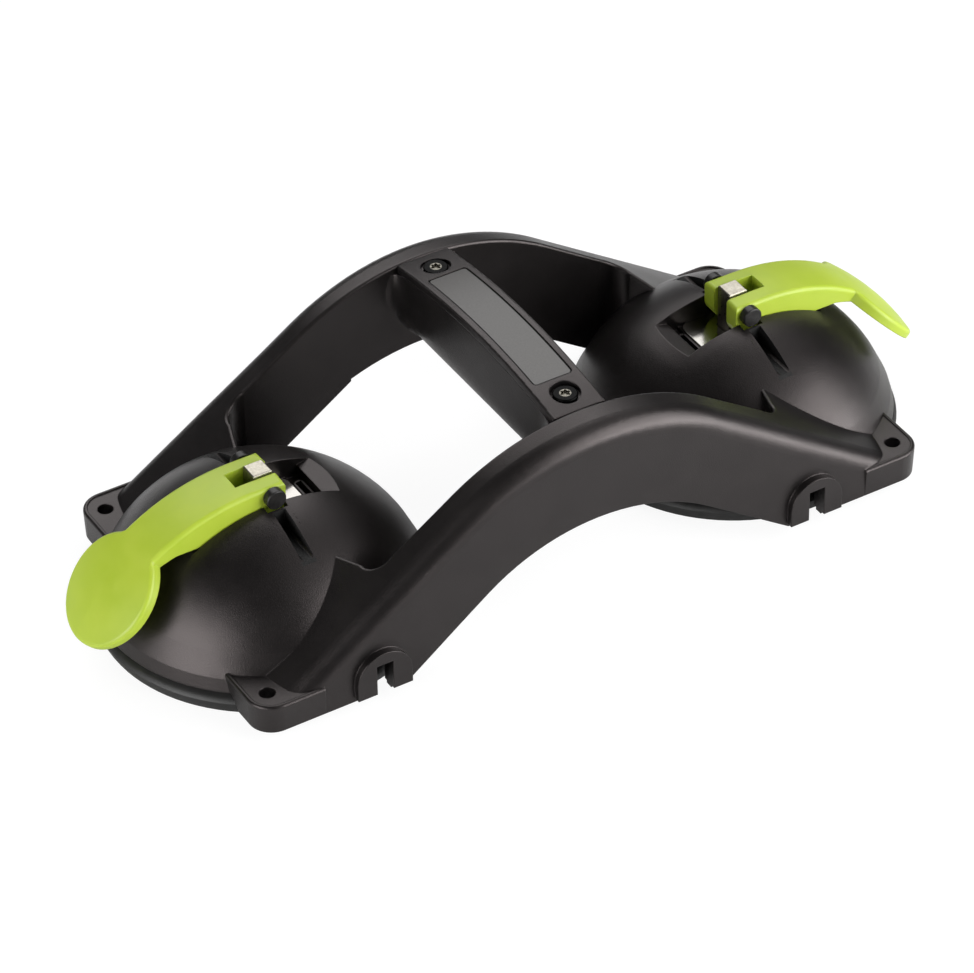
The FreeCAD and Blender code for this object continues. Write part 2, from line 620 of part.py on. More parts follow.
def groove_ring():
    """Raised ring in the groove beside the wear plate, and the slot inside it."""
    x0 = CUP_X + LEDGE_EDGE_U + 0.4
    x1 = CUP_X + GROOVE_U - 0.1
    block = box(x0, x1, -RING_HALF_WIDTH, RING_HALF_WIDTH, GROOVE_Z - 1, RING_TOP_Z)
    upright = [e for e in block.Edges if abs(e.Vertexes[0].Z - e.Vertexes[1].Z) > 0.1]
    block = block.makeFillet((x1 - x0) / 2 - 0.2, upright)
    rim = [e for e in block.Edges if min(v.Z for v in e.Vertexes) > RING_TOP_Z - 0.1]
    block = block.makeFillet(0.35, rim)
    slot = box(x0 + RING_THICK, x1 - RING_THICK, -RING_HALF_WIDTH + RING_THICK, RING_HALF_WIDTH - RING_THICK,
               RECESS_FLOOR_Z - 2 * RECESS_WALL, RING_TOP_Z + 1)
    return block, slot


def lever_recess():
    """Everything that is open above the recess floor, with the post's hole through the floor."""
    top = PIVOT_Z + 4
    outline = [(-40, top), (-40, LEDGE_EDGE_Z + LEDGE_SLOPE * (LEDGE_EDGE_U + 40)),
               (LEDGE_EDGE_U, LEDGE_EDGE_Z), (LEDGE_EDGE_U, GROOVE_Z), (GROOVE_U, GROOVE_Z),
               (GROOVE_U, RECESS_FLOOR_Z), (ARM_BAY_U, RECESS_FLOOR_Z), (ARM_BAY_U, ARM_BAY_Z),
               (45, ARM_BAY_Z), (45, top)]
    room = prism_xz([(CUP_X + u, z) for u, z in outline], -RECESS_HALF_WIDTH, RECESS_HALF_WIDTH)
    ring, slot = groove_ring()
    post_side = POST_HALF + RUN_FIT
    post_hole = box(CUP_X - post_side, CUP_X + post_side, -post_side, post_side, 30, top)
    return fuse_all([room.cut(ring), slot, post_hole])


def pin_channels():
    lanes = []
    middle = CHANNEL_FLOOR_Z + CHANNEL_HALF_WIDTH
    for side in (-1, 1):
        near = side * (RECESS_HALF_WIDTH - 0.1)
        far = side * (CHANNEL_END_Y + 12)
        lanes.append(box(CUP_X - CHANNEL_HALF_WIDTH, CUP_X + CHANNEL_HALF_WIDTH, min(near, far), max(near, far),
                         middle, PIVOT_Z + 6))
        lanes.append(rod(CHANNEL_HALF_WIDTH, Vector(CUP_X, near, middle), Vector(CUP_X, far, middle)))
    return fuse_all(lanes)


def frame():
    rail = near_rail()
    dome = dome_solid(0, SKIRT_FOOT_Z)
    cavity = dome_cavity()
    openings = fuse_all([lever_recess(), pin_channels()])
    ears = four_corners(near_right_ear())
    bosses = four_corners(near_right_boss())
    slots = four_corners(near_right_slot())
    body = fuse_all(both_sides(rail) + ears + bosses)
    body = body.cut(Part.makeCompound([cup_clearance(), half_turn(cup_clearance())]))
    body = body.multiFuse([dome, half_turn(dome)])
    body = body.cut(Part.makeCompound([cavity, half_turn(cavity)]))
    body = body.fuse(handle_channel())
    body = body.cut(Part.makeCompound([openings, half_turn(openings)]))
    body = body.cut(Part.makeCompound(slots))
    holes = [rod(EAR_HOLE_RADIUS, Vector(EAR_HOLE_X, -EAR_HOLE_Y, 0), Vector(EAR_HOLE_X, -EAR_HOLE_Y, 30))]
    return body.cut(Part.makeCompound(four_corners(holes[0])))


# ---- lifting train of the right-hand cup ---------------------------------------------------
def suction_cup():
    """Rubber disc: flared sealing lip, hollow underneath, flat top bonded to the steel plate."""
    top = PLATE_TOP_Z - PLATE_THICK
    pad = PLATE_RADIUS - 1
    outline = [(0, top), (pad, top), (pad + 3, top - 2), (pad + 9, 11), (CUP_LIP - 3, 7), (CUP_LIP, 5.2),
               (CUP_RADIUS, 0), (CUP_RADIUS - 2.5, 0), (CUP_RADIUS - 4, 1.2), (pad + 9, 5.5), (pad, top - 7),
               (NUT_RADIUS + 4, top - 7), (NUT_RADIUS + 1, top - 7), (NUT_RADIUS + 1, top - NUT_THICK - 1),
               (0, top - NUT_THICK - 1)]
    corners = [Vector(CUP_X + r, 0, z) for r, z in outline]
    face = Part.Face(Part.makePolygon(corners + corners[:1]))
    disc = face.revolve(Vector(CUP_X, 0, 0), Vector(0, 0, 1), 360)
    nut_room = rod(NUT_RADIUS + RUN_FIT, Vector(CUP_X, 0, top - NUT_THICK - RUN_FIT), Vector(CUP_X, 0, top + 1))
    return disc.cut(nut_room)


def cup_plate():
    foot = PLATE_TOP_Z - PLATE_THICK
    disc = rod(PLATE_RADIUS, Vector(CUP_X, 0, foot), Vector(CUP_X, 0, PLATE_TOP_Z))
    rim = [e for e in disc.Edges if e.Closed and e.Vertexes[0].Z > foot + 0.1]
    disc = disc.makeFillet(1.0, rim)
    return disc.cut(rod(STUD_RADIUS + SEAT_GAP, Vector(CUP_X, 0, foot - 1), Vector(CUP_X, 0, PLATE_TOP_Z + 1)))


def lift_post():
    foot = PLATE_TOP_Z
    bar = box(CUP_X - POST_HALF, CUP_X + POST_HALF, -POST_HALF, POST_HALF, foot, POST_TOP_Z)
    collar = rod(POST_HALF * 1.9, Vector(CUP_X, 0, foot), Vector(CUP_X, 0, foot + 2.5))
    stud = rod(STUD_RADIUS, Vector(CUP_X, 0, foot - PLATE_THICK - NUT_THICK), Vector(CUP_X, 0, foot))
    top_edges = [e for e in bar.Edges if min(v.Z for v in e.Vertexes) > POST_TOP_Z - 0.1]
    bar = bar.makeChamfer(0.4, top_edges)
    pin_hole = rod(PIN_RADIUS + SEAT_GAP, Vector(CUP_X, -9, PIVOT_Z), Vector(CUP_X, 9, PIVOT_Z))
    return fuse_all([bar, collar, stud]).cut(pin_hole)


def post_nut():
    top = PLATE_TOP_Z - PLATE_THICK
    corners = [Vector(CUP_X + NUT_RADIUS * math.cos(math.radians(60 * i)),
                      NUT_RADIUS * math.sin(math.radians(60 * i)), top - NUT_THICK) for i in range(6)]
    block = Part.Face(Part.makePolygon(corners + corners[:1])).extrude(Vector(0, 0, NUT_THICK))
    return block.cut(rod(STUD_RADIUS + SEAT_GAP, Vector(CUP_X, 0, 0), Vector(CUP_X, 0, 40)))


def pivot_pin():
    return rod(PIN_RADIUS, Vector(CUP_X, -PIN_HALF_LENGTH, PIVOT_Z), Vector(CUP_X, PIN_HALF_LENGTH, PIVOT_Z))


def pin_cap():
    inner = LEVER_HALF_WIDTH + 0.15
    body = rod(CAP_RADIUS, Vector(CUP_X, -inner, PIVOT_Z), Vector(CUP_X, -CAP_FACE_Y, PIVOT_Z))
    rim = [e for e in body.Edges if e.Closed and abs(e.Vertexes[0].Y + CAP_FACE_Y) < 0.01]
    body = body.makeFillet(0.5, rim)
    end = Vector(CUP_X, -PIN_HALF_LENGTH, PIVOT_Z)
    return body.cut(rod(PIN_RADIUS + SEAT_GAP, Vector(CUP_X, 0, PIVOT_Z), end))


def wear_plate():
    """Steel sheet on the recess floor that the lever's cam runs on, round the post."""
    half = RECESS_HALF_WIDTH - 0.1
    sheet = box(CUP_X + WEAR_END_U, CUP_X + ARM_BAY_U - 0.1, -half, half, RECESS_FLOOR_Z,
                RECESS_FLOOR_Z + WEAR_THICK)
    corners = [e for e in sheet.Edges if abs(e.Vertexes[0].Z - e.Vertexes[1].Z) > 0.1 and
               e.Vertexes[0].X < CUP_X]
    sheet = sheet.makeFillet(WEAR_CORNER, corners)
    side = POST_HALF + RUN_FIT
    return sheet.cut(box(CUP_X - side, CUP_X + side, -side, side, 30, 60))


# ---- lever ---------------------------------------------------------------------------------
CAM_STEP = CUP_TRAVEL / (math.pi / 2)      # drop of the pivot per radian of lever
CAM_BASE = PIVOT_Z - RECESS_FLOOR_Z - WEAR_THICK - CAM_GAP


def cam_point(turn):
    """Point of the cam that bears on the floor when the lever has turned this far.

    The cam is the involute of a circle of radius CAM_STEP, so its height under the pivot falls by
    the same amount for every degree and the contact stays at one distance outside the pivot.
    """
    height = CAM_BASE - CAM_STEP * turn
    down = (-math.sin(turn), -math.cos(turn))
    along = (-math.cos(turn), math.sin(turn))
    u = height * down[0] - CAM_STEP * along[0]
    w = height * down[1] - CAM_STEP * along[1]
    return u, w


def paddle_under():
    """Centre and radius of the ball under the paddle, which thins from the root to the tip."""
    tip_u = PADDLE_U + PADDLE_RADIUS * math.cos(math.radians(PADDLE_TILT))
    root_sine = (ARM_END_U - CROWN_CENTRE_U) / CROWN_RADIUS
    tip_sine = (tip_u - CROWN_CENTRE_U) / CROWN_RADIUS
    shift = (PADDLE_ROOT_THICK - PADDLE_TIP_THICK) / (tip_sine - root_sine)
    return CROWN_CENTRE_U + shift, CROWN_RADIUS - PADDLE_ROOT_THICK - shift * root_sine


def side_profile():
    """Side outline of the arm: cam at the inner end, flat underside, room for the crowned top."""
    steps = 6
    cam = [cam_point(math.pi / 2 * i / steps) for i in range(steps + 1)]
    points = [Vector(u, 0, PIVOT_Z + w) for u, w in cam]
    curve = Part.BSplineCurve()
    curve.interpolate(Points=points, InitialTangent=Vector(-1, 0, 0), FinalTangent=Vector(0, 0, 1))
    foot = points[0].z
    inner_u = points[-1].x
    under_u, under_radius = paddle_under()
    end_z = CROWN_CENTRE_Z + math.sqrt(under_radius ** 2 - (ARM_END_U - under_u) ** 2)
    top = CROWN_CENTRE_Z + CROWN_RADIUS + 2
    rest = [points[-1], Vector(inner_u, 0, top), Vector(ARM_END_U, 0, top), Vector(ARM_END_U, 0, end_z)]
    neck = arc(rest[-1], Vector(NECK_U + 8, 0, ARM_FOOT_Z - 2.6), Vector(NECK_U, 0, ARM_FOOT_Z))
    under = [Vector(NECK_U, 0, ARM_FOOT_Z), Vector(ARM_BAY_U - 0.4, 0, ARM_FOOT_Z), Vector(CAM_LOBE_U, 0, foot),
             points[0]]
    edges = [curve.toShape()] + [line(a, b) for a, b in zip(rest, rest[1:])]
    edges += [neck] + [line(a, b) for a, b in zip(under, under[1:])]
    return face_of(edges)


def crown_body():
    """Ball that the lever's top follows, run on straight over the fork."""
    centre = Vector(CROWN_CENTRE_U, 0, CROWN_CENTRE_Z)
    ball = Part.makeSphere(CROWN_RADIUS, centre)
    run = rod(CROWN_RADIUS, centre - Vector(20, 0, 0), centre)
    ball = ball.common(box(CROWN_CENTRE_U, 90, -50, 50, -5, 70))
    return ball.fuse(run.common(box(-14, CROWN_CENTRE_U, -50, 50, -5, 70)))


def paddle():
    tilt = math.radians(PADDLE_TILT)
    normal = Vector(math.sin(tilt), 0, math.cos(tilt))
    centre = Vector(PADDLE_U, 0, PADDLE_Z)
    drum = Part.makeCylinder(PADDLE_RADIUS, 34, centre - normal * 17, normal)
    under_u, under = paddle_under()
    return drum.common(crown_body()).cut(Part.makeSphere(under, Vector(under_u, 0, CROWN_CENTRE_Z)))


def lever():
    arm = side_profile().extrude(Vector(0, 2 * LEVER_HALF_WIDTH, 0))
    arm.translate(Vector(0, -LEVER_HALF_WIDTH, 0))
    body = arm.common(crown_body()).fuse(paddle()).removeSplitter()
    top_edges = []
    for edge in body.Edges:
        middle = middle_of(edge)
        level = CROWN_CENTRE_Z + math.sqrt(max(0, CROWN_RADIUS ** 2 - max(0, middle.x - CROWN_CENTRE_U) ** 2
                                               - middle.y ** 2))
        if abs(middle.z - level) < 0.05 and edge.Length > 3:
            top_edges.append(edge)
    body = body.makeFillet(1.6, top_edges)
    slot = box(-20, LEVER_SLOT_END, -LEVER_SLOT_HALF, LEVER_SLOT_HALF, 20, 80)
    pin_hole = rod(PIN_RADIUS + SEAT_GAP, Vector(0, -20, PIVOT_Z), Vector(0, 20, PIVOT_Z))
    body = body.cut(slot).cut(pin_hole)
    body.translate(Vector(CUP_X, 0, 0))
    return body


# ---- write the pieces ----------------------------------------------------------------------
def write_all():
    save("frame", frame())
    save("handle_cover", handle_cover())
    save("label_plate", label_plate())
    save("cover_screws", Part.makeCompound([cover_screw(-SCREW_Y), cover_screw(SCREW_Y)]))
    save("cover_inserts", Part.makeCompound([cover_insert(-SCREW_Y), cover_insert(SCREW_Y)]))
    pieces = {"suction_cup": suction_cup(), "cup_plate": cup_plate(), "lift_post": lift_post(),
              "post_nut": post_nut(), "pivot_pin": pivot_pin(), "wear_plate": wear_plate(), "lever": lever(),
              "pin_caps": Part.makeCompound(both_sides(pin_cap()))}
    for name, shape in pieces.items():
        save("right_" + name, shape)
        save("left_" + name, half_turn(shape))


write_all()
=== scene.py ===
# %% [markdown]
# # A twin-cup suction lifter, finished in Blender
#
# The tool carries floor tiles and glass. Two rubber suction cups sit under two moulded domes, a
# handle bridges them, and a green cam lever on each dome pulls its cup's centre up to make the
# vacuum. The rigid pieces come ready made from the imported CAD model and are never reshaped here.
# What is left for Blender is what CAD leaves out: soft rubber, light, and surfaces that look like
# moulded nylon, ground steel, brass and film.

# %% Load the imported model
import math
import bpy
from mathutils import Matrix, Vector


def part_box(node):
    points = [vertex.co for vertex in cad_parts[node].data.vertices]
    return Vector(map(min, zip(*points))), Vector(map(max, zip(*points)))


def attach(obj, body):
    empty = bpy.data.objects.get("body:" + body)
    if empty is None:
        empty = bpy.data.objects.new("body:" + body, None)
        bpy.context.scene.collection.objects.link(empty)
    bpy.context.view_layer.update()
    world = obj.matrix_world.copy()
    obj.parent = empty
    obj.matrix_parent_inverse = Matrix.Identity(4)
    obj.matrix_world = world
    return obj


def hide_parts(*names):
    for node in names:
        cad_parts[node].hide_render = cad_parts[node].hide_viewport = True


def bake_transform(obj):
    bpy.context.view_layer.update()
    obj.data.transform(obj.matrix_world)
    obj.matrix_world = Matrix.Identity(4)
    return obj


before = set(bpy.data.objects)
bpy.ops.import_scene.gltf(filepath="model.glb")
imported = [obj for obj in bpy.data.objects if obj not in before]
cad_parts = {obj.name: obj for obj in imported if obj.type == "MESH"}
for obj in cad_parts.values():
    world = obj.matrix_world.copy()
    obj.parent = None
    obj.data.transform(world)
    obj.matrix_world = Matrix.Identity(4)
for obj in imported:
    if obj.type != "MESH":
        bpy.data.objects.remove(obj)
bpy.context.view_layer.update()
scene = bpy.context.scene


# %% [markdown]
# ## Camera
#
# A long lens from a little under two metres away keeps the lifter's proportions true, as a
# catalogue shot does. We could place the camera with rotation angles and correct them by eye, but
# building its three axes from a compass direction, a height and a small roll says exactly where it
# looks from, and those numbers can be read again later.

# %% Camera from a compass direction, a height and a roll
AZIMUTH, ELEVATION, ROLL = math.radians(-30.725), math.radians(38.695), math.radians(-0.904)
AIM = Vector((-0.016855, -0.017922, 0.030))
DISTANCE = 1.82793         # from the camera to the point it aims at
FOCAL_LENGTH, SENSOR_WIDTH = 187.94, 36        # both in millimetres

backward = Vector((math.sin(AZIMUTH) * math.cos(ELEVATION),
                   -math.cos(AZIMUTH) * math.cos(ELEVATION),
                   math.sin(ELEVATION)))
level_right = Vector((0, 0, 1)).cross(backward).normalized()
level_up = backward.cross(level_right)
right = level_right * math.cos(ROLL) + level_up * math.sin(ROLL)
up = level_up * math.cos(ROLL) - level_right * math.sin(ROLL)

lens = bpy.data.cameras.new("catalogue_lens")
lens.lens = FOCAL_LENGTH
lens.sensor_width = SENSOR_WIDTH
camera = bpy.data.objects.new("catalogue_camera", lens)
scene.collection.objects.link(camera)
turned = Matrix((right, up, backward)).transposed().to_4x4()
camera.matrix_world = Matrix.Translation(AIM + backward * DISTANCE) @ turned
scene.camera = camera
print("camera at", [round(v, 3) for v in camera.matrix_world.translation])


# %% [markdown]
# ## Floor, world and lamps
#
# Black nylon shows almost nothing of its own colour: what the eye reads as its shape is the
# reflection of whatever stands round it. So the surroundings matter more than the lamps. The floor
# is a sheet of white paper. To the camera most of its white is a glow, so that it meets the white
# behind it without a seam and keeps only a faint shadow. To lamps and in reflections it is plain
# paper, which still darkens under the lifter. One sheet can be all of these, because a Light Path
# node tells the material which kind of ray is asking.

# %% An empty node tree, and the sheet
FLOOR_SIZE = 12            # metres, so that its edge stays out of sight


def nodes_of(material):
    """Turns nodes on, empties the tree and hands back its nodes and links."""
    material.use_nodes = True
    tree = material.node_tree
    tree.nodes.clear()
    return tree.nodes, tree.links


bpy.ops.object.select_all(action="DESELECT")
bpy.ops.mesh.primitive_plane_add(size=FLOOR_SIZE, location=(0, 0, 0))
floor = bpy.context.object
floor.name = "studio_floor"
print(floor.name, "is", FLOOR_SIZE, "metres wide")

# %% [markdown]
# Two numbers change with the ray: how white the paper is and how strongly it glows. A small
# function wires one such number from two Map Range nodes, and it is used for both.

# %% White paper that keeps a shadow
paper = bpy.data.materials.new("studio_paper")
nodes, links = nodes_of(paper)
rays = nodes.new("ShaderNodeLightPath")
mirrored = nodes.new("ShaderNodeMath")
mirrored.operation = "MAXIMUM"
links.new(rays.outputs["Is Glossy Ray"], mirrored.inputs[0])
links.new(rays.outputs["Is Transmission Ray"], mirrored.inputs[1])


def by_ray(plain, in_mirror, to_camera):
    """A number for the floor: one for lighting, one for reflections, one for the camera."""
    first = nodes.new("ShaderNodeMapRange")
    first.inputs["To Min"].default_value = plain
    first.inputs["To Max"].default_value = in_mirror
    links.new(mirrored.outputs[0], first.inputs["Value"])
    second = nodes.new("ShaderNodeMapRange")
    second.inputs["To Max"].default_value = to_camera
    links.new(first.outputs[0], second.inputs["To Min"])
    links.new(rays.outputs["Is Camera Ray"], second.inputs["Value"])
    return second.outputs[0]


matt = nodes.new("ShaderNodeBsdfDiffuse")
links.new(by_ray(plain=0.8, in_mirror=0.78, to_camera=0.16), matt.inputs["Color"])
glow = nodes.new("ShaderNodeEmission")
glow.inputs["Color"].default_value = (1, 1, 1, 1)
links.new(by_ray(plain=0.0, in_mirror=0.08, to_camera=0.90), glow.inputs["Strength"])
sheet = nodes.new("ShaderNodeAddShader")
links.new(matt.outputs[0], sheet.inputs[0])
links.new(glow.outputs[0], sheet.inputs[1])
out = nodes.new("ShaderNodeOutputMaterial")
links.new(sheet.outputs[0], out.inputs["Surface"])
floor.data.materials.append(paper)
print(paper.name, "has", len(nodes), "nodes")

# %% [markdown]
# The world does the same with a single switch. Behind the lifter the camera sees pure white, while
# the lifter itself reflects a dim grey studio.

# %% World: white to the camera, a dim studio to everything else
world = bpy.data.worlds.new("studio_world")
scene.world = world
nodes, links = nodes_of(world)
rays = nodes.new("ShaderNodeLightPath")
studio = nodes.new("ShaderNodeBackground")
studio.inputs["Color"].default_value = (0.055, 0.055, 0.057, 1)
white = nodes.new("ShaderNodeBackground")
white.inputs["Color"].default_value = (1, 1, 1, 1)
blend = nodes.new("ShaderNodeMixShader")
links.new(rays.outputs["Is Camera Ray"], blend.inputs[0])
links.new(studio.outputs[0], blend.inputs[1])
links.new(white.outputs[0], blend.inputs[2])
out = nodes.new("ShaderNodeOutputWorld")
links.new(blend.outputs[0], out.inputs["Surface"])
print(world.name, "mixes two backgrounds")

# %% [markdown]
# A few large soft boxes draw the highlights along the rails and over the domes. In a dark mirror a
# lamp is a picture of itself, so what counts is where it is seen from the lifter and how large it
# looks. Each box is therefore given by its bearing, its lower and upper edge and its half width,
# all as angles.

# %% Soft boxes
STUDIO_RADIUS = 1.6        # how far the soft boxes stand from the lifter


def soft_box(name, bearing, low, high, half_width, brightness):
    """A soft box seen from the lifter between two heights, at a compass bearing, all in degrees.

    Brightness is how many times whiter than white paper its face looks.
    """
    middle = math.radians((low + high) / 2)
    turn = math.radians(bearing)
    lamp = bpy.data.lights.new(name, "AREA")
    lamp.shape = "RECTANGLE"
    lamp.size = 2 * STUDIO_RADIUS * math.tan(math.radians(half_width))
    lamp.size_y = 2 * STUDIO_RADIUS * math.tan(math.radians(high - low) / 2)
    lamp.energy = brightness * math.pi * lamp.size * lamp.size_y
    box = bpy.data.objects.new(name, lamp)
    scene.collection.objects.link(box)
    away = Vector((math.sin(turn) * math.cos(middle),
                   math.cos(turn) * math.cos(middle),
                   math.sin(middle)))
    box.location = away * STUDIO_RADIUS
    box.rotation_euler = (-away).to_track_quat("-Z", "Y").to_euler()
    box.visible_camera = False


# name, bearing, lower edge, upper edge, half width, brightness
soft_box("left_front_box", -103, 1, 33, 22, 5.2)
soft_box("left_low_strip", -106, 0.5, 9, 20, 2.5)
soft_box("right_front_box", 138, 1, 42, 26, 5.0)
soft_box("right_low_strip", 138, 0.5, 9, 27, 8.0)
soft_box("back_box", 18, 28, 68, 23, 2.4)
soft_box("right_fill", 105, 42, 82, 38, 0.6)
scene.view_settings.view_transform = "Standard"


# %% [markdown]
# ## A small kit for node materials
#
# Each finish below is a Principled shader with a few textures in front of it. Everything reads
# Object coordinates, in metres, so a grain size is simply one divided by the size of its lumps, and
# the pattern stays put when the levers move. Writing the wiring out each time would bury what
# matters, so a few helpers do it. The first two start a material and make a noise.

# %% Start a finish, make a noise
def finish(name, color, roughness, **extra):
    """A new Principled material; extra socket names have _ for a space."""
    material = bpy.data.materials.new(name)
    nodes, links = nodes_of(material)
    shader = nodes.new("ShaderNodeBsdfPrincipled")
    shader.inputs["Base Color"].default_value = (*color, 1)
    shader.inputs["Roughness"].default_value = roughness
    for socket, value in extra.items():
        shader.inputs[socket.replace("_", " ")].default_value = value
    out = nodes.new("ShaderNodeOutputMaterial")
    links.new(shader.outputs[0], out.inputs["Surface"])
    return material, shader


def noise(material, lump, detail=2.0, stretch=(1, 1, 1), rough=0.5):
    """Noise on Object coordinates whose lumps are about this many metres across."""
    nodes, links = material.node_tree.nodes, material.node_tree.links
    place = nodes.new("ShaderNodeTexCoord")
    mapping = nodes.new("ShaderNodeMapping")
    mapping.inputs["Scale"].default_value = stretch
    texture = nodes.new("ShaderNodeTexNoise")
    texture.inputs["Scale"].default_value = 1 / lump
    texture.inputs["Detail"].default_value = detail
    texture.inputs["Roughness"].default_value = rough
    links.new(place.outputs["Object"], mapping.inputs["Vector"])
    links.new(mapping.outputs["Vector"], texture.inputs["Vector"])
    return texture.outputs[0]


# %% [markdown]
# The next one turns a value into two colours or two numbers. Colours go through a Color Ramp and
# numbers through a Map Range, which is all that most of the finishes need.

# %% Spread a value over two colours or two numbers
def between(material, value, low, high, socket, start=0.3, end=0.7):
    """Turns a value into a range of numbers, or of colours, and plugs it into a socket."""
    nodes, links = material.node_tree.nodes, material.node_tree.links
    if isinstance(low, tuple):
        ramp = nodes.new("ShaderNodeValToRGB")
        ramp.color_ramp.elements[0].position = start
        ramp.color_ramp.elements[1].position = end
        ramp.color_ramp.elements[0].color = (*low, 1)
        ramp.color_ramp.elements[1].color = (*high, 1)
        links.new(value, ramp.inputs[0])
        links.new(ramp.outputs["Color"], socket)
    else:
        spread = nodes.new("ShaderNodeMapRange")
        spread.inputs["From Min"].default_value = start
        spread.inputs["From Max"].default_value = end
        spread.inputs["To Min"].default_value = low
        spread.inputs["To Max"].default_value = high
        links.new(value, spread.inputs["Value"])
        links.new(spread.outputs[0], socket)


# %% [markdown]
# The last two add relief and put the finish on. Relief is a Bump node over a Bevel node: the Bevel
# rounds the normals beside sharp edges, which costs no geometry, and the Bump adds the grain.

# %% Relief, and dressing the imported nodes
def relief(material, shader, height, depth, edge=0.0, strength=1.0):
    """Bumps a surface by a height map this many metres deep, over softly rounded edges."""
    nodes, links = material.node_tree.nodes, material.node_tree.links
    bump = nodes.new("ShaderNodeBump")
    bump.inputs["Strength"].default_value = strength
    bump.inputs["Distance"].default_value = depth
    links.new(height, bump.inputs["Height"])
    if edge:
        rounding = nodes.new("ShaderNodeBevel")
        rounding.samples = 6
        rounding.inputs["Radius"].default_value = edge
        links.new(rounding.outputs[0], bump.inputs["Normal"])
    links.new(bump.outputs[0], shader.inputs["Normal"])


def dress(material, *names):
    """Puts a finish on CAD nodes, in every material slot they have."""
    for name in names:
        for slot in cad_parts[name].material_slots:
            slot.material = material
    print(material.name, "on", ", ".join(names))


# %% [markdown]
# ## Moulded housing
#
# The frame and the handle's cover are glass-filled nylon from a spark-eroded mould: near black,
# satin, with a grain finer than a millimetre that breaks reflections up into a soft sheen. A bump
# from one rough noise gives that grain. The rounded normals let the rims of slots and recesses
# catch the thin bright line that a real moulded edge has. The reflection is tinted a little warm,
# because on a surface this dark the reflection carries nearly all the colour that is seen.

# %% Charcoal nylon
nylon, shader = finish("charcoal_nylon", (0.0055, 0.005, 0.005), 0.36,
                       Specular_Tint=(1.0, 0.89, 0.88, 1))
between(nylon, noise(nylon, 0.012, 3), (0.0045, 0.0041, 0.0041), (0.0075, 0.0068, 0.0067),
        shader.inputs["Base Color"])
between(nylon, noise(nylon, 0.02, 4), 0.29, 0.35, shader.inputs["Roughness"])
relief(nylon, shader, noise(nylon, 0.0005, 2, rough=0.8), 0.0001, edge=0.0006, strength=0.7)
dress(nylon, "frame", "handle_cover")

# %% [markdown]
# ## Green levers
#
# The levers are solid green nylon, a little translucent where they thin out. The colour is even, so
# most of the liveliness comes from the gloss varying slightly over the surface.

# %% Lever green
green, shader = finish("lever_green", (0.40, 0.52, 0.04), 0.42, Subsurface_Weight=0.08,
                       Subsurface_Radius=(0.002, 0.003, 0.0006), Subsurface_Scale=1.0)
between(green, noise(green, 0.012, 3), (0.375, 0.495, 0.034), (0.415, 0.53, 0.044),
        shader.inputs["Base Color"])
between(green, noise(green, 0.006, 4), 0.38, 0.48, shader.inputs["Roughness"])
relief(green, shader, noise(green, 0.0007, 2), 0.00004, edge=0.0005, strength=0.25)
dress(green, "left_lever", "right_lever")

# %% [markdown]
# ## Bright steels
#
# The pieces that carry load are steel: a strip under each cam, a square post, and the discs, nuts
# and pins round it. All are fully metallic, so their base colour tints the reflection instead of
# painting the surface. What tells the steels apart is the direction of their scratches. One noise
# stretched along the way a surface was ground gives that: along X on the strips, where the cam
# slides, and up and down on the posts. Zinc plating has no direction, only cloudy patches.

# %% Steels
bright, shader = finish("polished_wear_steel", (0.40, 0.385, 0.36), 0.16, Metallic=1.0)
between(bright, noise(bright, 0.0012, 4, stretch=(0.12, 1, 1)), 0.10, 0.20,
        shader.inputs["Roughness"])
relief(bright, shader, noise(bright, 0.0006, 3, stretch=(0.1, 1, 1)), 0.00002, edge=0.0003,
       strength=0.2)
dress(bright, "left_wear_plate", "right_wear_plate")

post, shader = finish("ground_post_steel", (0.50, 0.49, 0.47), 0.34, Metallic=1.0)
between(post, noise(post, 0.0009, 4, stretch=(1, 1, 0.08)),
        (0.30, 0.28, 0.235), (0.42, 0.395, 0.335), shader.inputs["Base Color"])
between(post, noise(post, 0.0016, 4), 0.26, 0.38, shader.inputs["Roughness"])
relief(post, shader, noise(post, 0.0006, 3, stretch=(1, 1, 0.15)), 0.00001, edge=0.0003,
       strength=0.15)
dress(post, "left_lift_post", "right_lift_post")

zinc, shader = finish("zinc_plated_steel", (0.48, 0.48, 0.47), 0.38, Metallic=1.0)
between(zinc, noise(zinc, 0.004, 4), (0.38, 0.38, 0.36), (0.56, 0.56, 0.54),
        shader.inputs["Base Color"])
between(zinc, noise(zinc, 0.002, 3), 0.32, 0.50, shader.inputs["Roughness"])
relief(zinc, shader, noise(zinc, 0.0005, 3), 0.00002, strength=0.2)
for side in ("left", "right"):
    dress(zinc, side + "_cup_plate", side + "_post_nut", side + "_pivot_pin")

# %% [markdown]
# ## Blackened caps and screws
#
# The pin's caps and the cover's screws are blackened, so they nearly vanish beside the nylon. They
# still need their own finish: a sharper, slightly uneven reflection is what makes them read as
# metal. We could darken the steel above, but a metal that dark loses its rim of light, so the caps
# are made only part metallic, which keeps a pale edge where the surface turns away.

# %% Dark caps
cap, shader = finish("blackened_cap", (0.025, 0.023, 0.023), 0.34, Metallic=0.3)
between(cap, noise(cap, 0.0012, 4), (0.009, 0.0085, 0.0085), (0.022, 0.021, 0.02),
        shader.inputs["Base Color"])
relief(cap, shader, noise(cap, 0.0005, 3), 0.00003, edge=0.0004, strength=0.3)
dress(cap, "left_pin_caps", "right_pin_caps")

# %% [markdown]
# The screws have two finishes in one. Their heads are black, but the driver has worn the blacking
# off in their sockets, so the star catches the light. We could split the mesh into two slots. A
# distance worked out in the material does it without touching the mesh: folding a position with
# Absolute makes one half of the handle the mirror of the other, so one point serves both screws.

